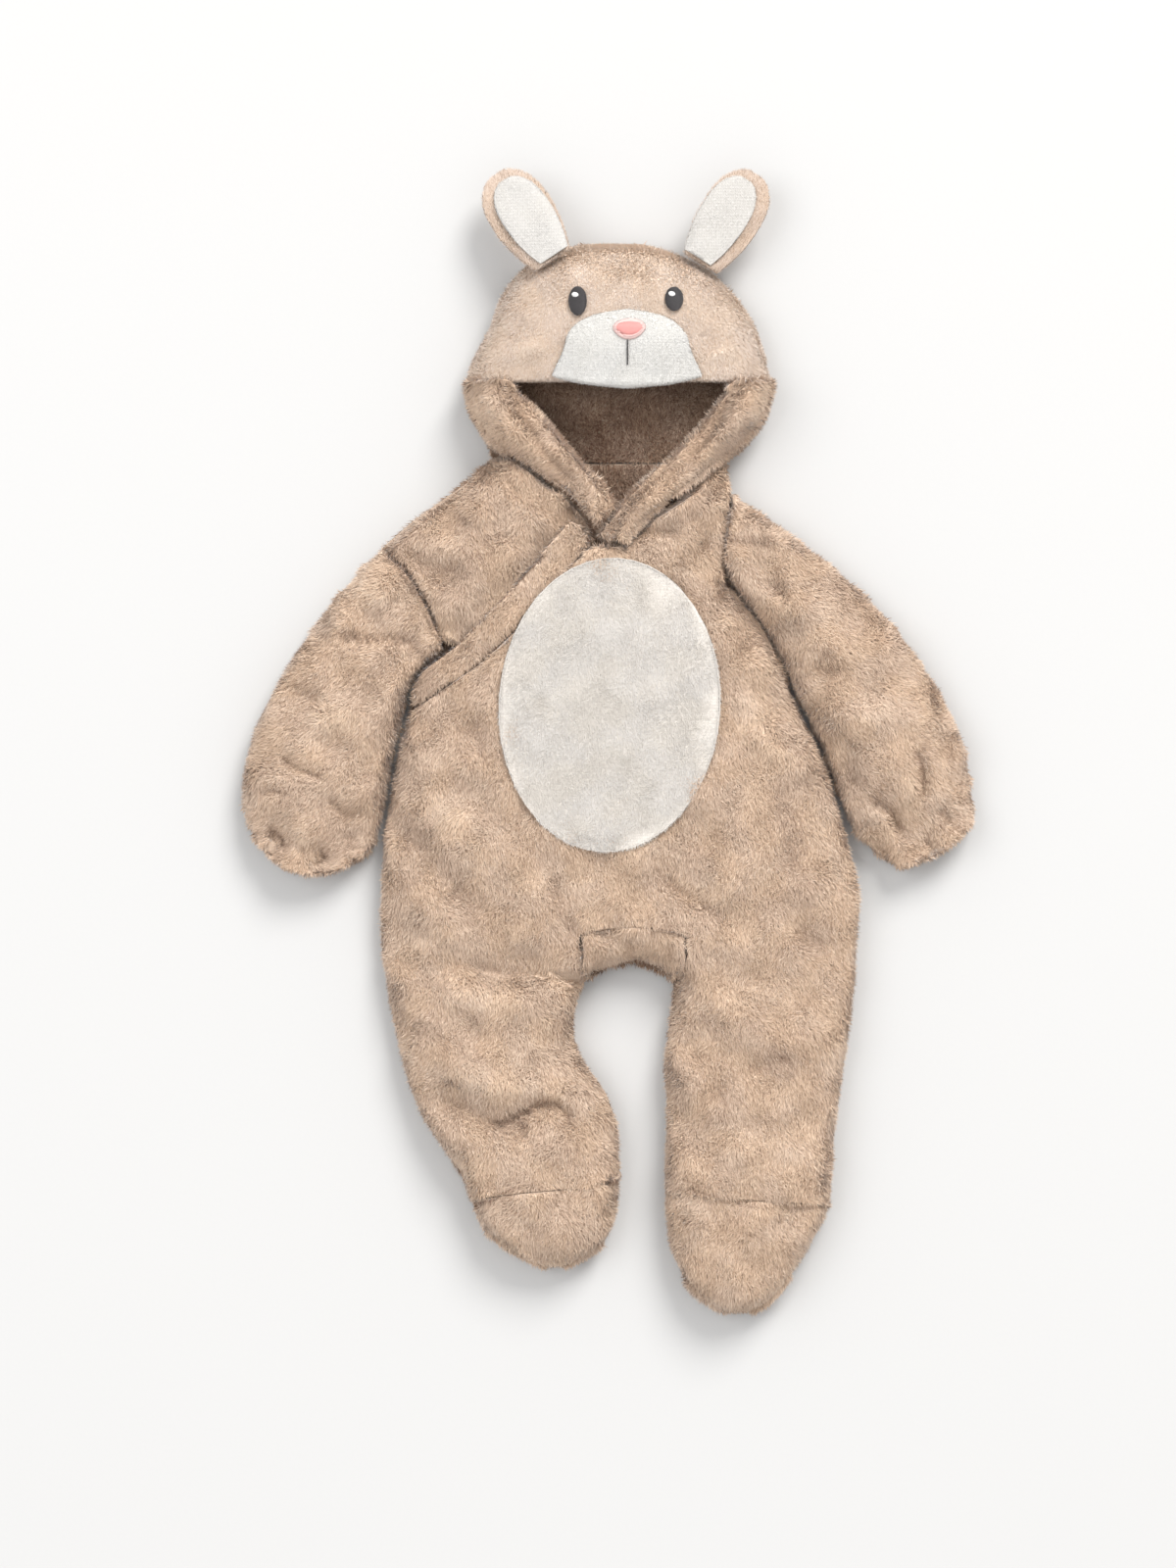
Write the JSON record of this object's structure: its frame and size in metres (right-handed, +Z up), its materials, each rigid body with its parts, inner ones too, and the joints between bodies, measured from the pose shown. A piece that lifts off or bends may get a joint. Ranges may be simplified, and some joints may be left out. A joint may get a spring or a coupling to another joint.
{
  "type": "pramsuit",
  "caption": "Baby's plush pramsuit with feet, a wrap front and a hood with a bunny's face and ears, laid flat on its back.",
  "frame": {"origin": "middle of the suit's outline, on the surface that it lies on", "axes": "+X towards the right of the laid-out suit as seen from above, +Y towards the hood's ears, +Z up from the surface"},
  "size_m": [0.512, 0.7969, 0.0575],
  "materials": {
    "plush": "beige deep-pile plush",
    "cream_velour": "cream short-pile velour",
    "white_velour": "white brushed velour",
    "pink_thread": "pink satin-stitched thread",
    "charcoal_thread": "charcoal satin-stitched thread"
  },
  "bodies": {
    "root": {"front_panel": "plush", "gusset": "plush", "back_panel": "plush", "under_front": "plush", "wrap_band": "plush", "foot_upper_left": "plush", "foot_sole_left": "plush", "foot_upper_right": "plush", "foot_sole_right": "plush", "sleeve_left": "plush", "sleeve_right": "plush", "hood_front": "plush", "hood_back": "plush", "brim_left": "plush", "brim_right": "plush", "ear_left": "plush", "ear_right": "plush", "ear_lining_left": "white_velour", "ear_lining_right": "white_velour", "muzzle": "white_velour", "nose": "pink_thread", "eye_left": "charcoal_thread", "eye_right": "charcoal_thread", "belly_patch": "cream_velour"}
  },
  "joints": []
}
